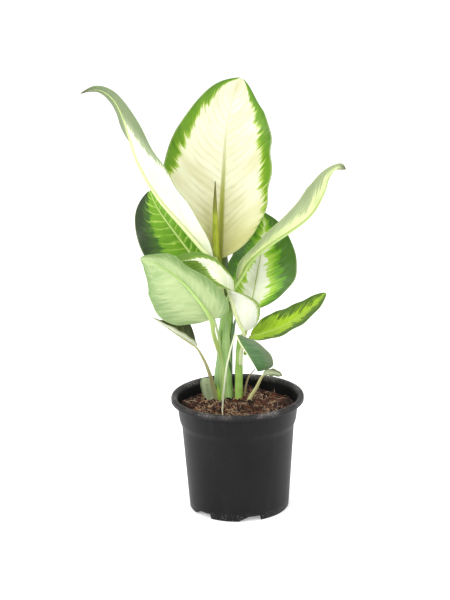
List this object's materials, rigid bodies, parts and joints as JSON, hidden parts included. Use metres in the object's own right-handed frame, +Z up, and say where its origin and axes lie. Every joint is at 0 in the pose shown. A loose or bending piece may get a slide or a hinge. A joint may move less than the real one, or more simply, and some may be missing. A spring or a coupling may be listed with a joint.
{
  "type": "potted dieffenbachia",
  "caption": "Young house plant with broad cream and green leaves on short stems, standing in a plain black plastic nursery pot with a rolled lip and notched foot.",
  "frame": {"origin": "the middle of the whole plant's width and depth, in the plane of the surface it stands on; the middle of the pot is 16.3 mm to +X of it", "axes": "+Z up; +X to the right and +Y to the back as the plant is seen from the front, where the big upright leaf shows its upper surface"},
  "size_m": [0.2298, 0.12, 0.389],
  "materials": {
    "pot_plastic": "charcoal moulded plastic, slightly dusty",
    "potting_mix": "loose peat and coir, reddish brown with pale fibres",
    "stem_green": "smooth fresh green stem",
    "dried_stalk": "thin dried stalk, grey-brown",
    "cream_leaf": "smooth cream leaf with feathered green margins",
    "green_leaf": "smooth dark green leaf with a lighter middle",
    "pale_leaf": "matte pale green leaf underside"
  },
  "bodies": {
    "root": {"nursery_pot": "pot_plastic", "potting_mix": "potting_mix", "main_stem": "stem_green", "side_shoot": "stem_green", "new_leaf_spike": "stem_green", "dry_stalk": "dried_stalk", "leaf_upright": "cream_leaf", "leaf_upper_left": "cream_leaf", "leaf_twisted": "cream_leaf", "leaf_right": "cream_leaf", "leaf_dark_left": "green_leaf", "leaf_lower_right": "green_leaf", "leaf_drooping": "green_leaf", "leaf_front_left": "pale_leaf", "leaf_upper_right": "pale_leaf", "leaf_small_left": "pale_leaf", "leaf_wilted": "pale_leaf", "base_sheath": "pale_leaf"}
  },
  "joints": []
}
